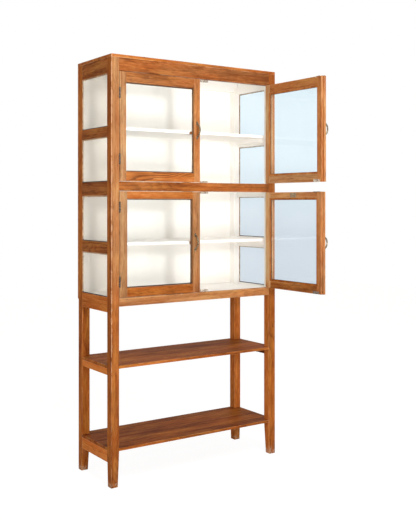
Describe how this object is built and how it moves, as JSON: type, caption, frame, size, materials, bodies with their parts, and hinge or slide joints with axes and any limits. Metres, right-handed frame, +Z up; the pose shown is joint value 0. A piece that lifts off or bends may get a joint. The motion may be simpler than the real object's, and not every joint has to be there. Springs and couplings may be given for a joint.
{
  "type": "glazed display cabinet on open stand",
  "caption": "Tall teak cabinet with glass doors and glass sides, white inside, on long legs that carry open shelves. Its doors swing on butt hinges.",
  "frame": {"origin": "centre of the bottom of the box round the cabinet at rest, with its right doors open", "axes": "+Z up, +X to the right and +Y to the back, as seen from the front"},
  "size_m": [0.892, 0.7312, 1.85],
  "materials": {
    "teak": "worn oiled teak",
    "shelf_wood": "dark worn teak",
    "white_paint": "warm white paint on wood",
    "glass": "clear window glass",
    "pull_brass": "dark antique brass",
    "plate_brass": "dull brass",
    "hinge_iron": "dark grey iron",
    "steel": "dull steel"
  },
  "bodies": {
    "cabinet": {"front_rail_top": "teak", "front_rail_middle": "teak", "front_rail_bottom": "teak", "back_rails": "teak", "side_rails_left": "teak", "side_panes_left": "glass", "side_rails_right": "teak", "side_panes_right": "glass", "open_shelf_rails": "teak", "post_front_left": "teak", "post_back_left": "teak", "post_front_right": "teak", "post_back_right": "teak", "top_board": "teak", "back_board": "teak", "floor_board": "white_paint", "divider_board": "white_paint", "inner_shelf_upper": "white_paint", "inner_shelf_lower": "white_paint", "shelf_cleats": "white_paint", "shelf_stops": "teak", "open_shelf_upper": "shelf_wood", "open_shelf_lower": "shelf_wood", "hinge_frame_leaves": "hinge_iron", "catches": "steel", "nails": "steel"},
    "door_upper_left": {"door_upper_left_hinge_stile": "teak", "door_upper_left_meeting_stile": "teak", "door_upper_left_rails": "teak", "door_upper_left_pane": "glass", "door_upper_left_beads": "teak", "door_upper_left_pull": "pull_brass", "door_upper_left_hinges": "hinge_iron", "door_upper_left_strikes": "steel"},
    "door_upper_right": {"door_upper_right_hinge_stile": "teak", "door_upper_right_meeting_stile": "teak", "door_upper_right_rails": "teak", "door_upper_right_pane": "glass", "door_upper_right_beads": "teak", "door_upper_right_pull": "pull_brass", "door_upper_right_hinges": "hinge_iron", "door_upper_right_strikes": "steel"},
    "door_lower_left": {"door_lower_left_hinge_stile": "teak", "door_lower_left_meeting_stile": "teak", "door_lower_left_rails": "teak", "door_lower_left_pane": "glass", "door_lower_left_beads": "teak", "door_lower_left_pull": "pull_brass", "door_lower_left_hinges": "hinge_iron", "door_lower_left_strikes": "steel"},
    "door_lower_right": {"door_lower_right_hinge_stile": "teak", "door_lower_right_meeting_stile": "teak", "door_lower_right_rails": "teak", "door_lower_right_pane": "glass", "door_lower_right_beads": "teak", "door_lower_right_pull": "pull_brass", "door_lower_right_hinges": "hinge_iron", "door_lower_right_strikes": "steel", "door_lower_right_plate": "plate_brass"}
  },
  "joints": [
    {"name": "door_upper_left_hinge", "type": "hinge", "parent": "cabinet", "child": "door_upper_left", "pos_m": [-0.407, 0.03309, 1.54325], "axis": [0, 0, -1], "range_deg": [0, 165]},
    {"name": "door_upper_right_hinge", "type": "hinge", "parent": "cabinet", "child": "door_upper_right", "pos_m": [0.407, 0.03309, 1.54325], "axis": [0, 0, 1], "range_deg": [-91, 74]},
    {"name": "door_lower_left_hinge", "type": "hinge", "parent": "cabinet", "child": "door_lower_left", "pos_m": [-0.407, 0.03309, 1.036], "axis": [0, 0, -1], "range_deg": [0, 165]},
    {"name": "door_lower_right_hinge", "type": "hinge", "parent": "cabinet", "child": "door_lower_right", "pos_m": [0.407, 0.03309, 1.036], "axis": [0, 0, 1], "range_deg": [-90.5, 74.5]}
  ]
}
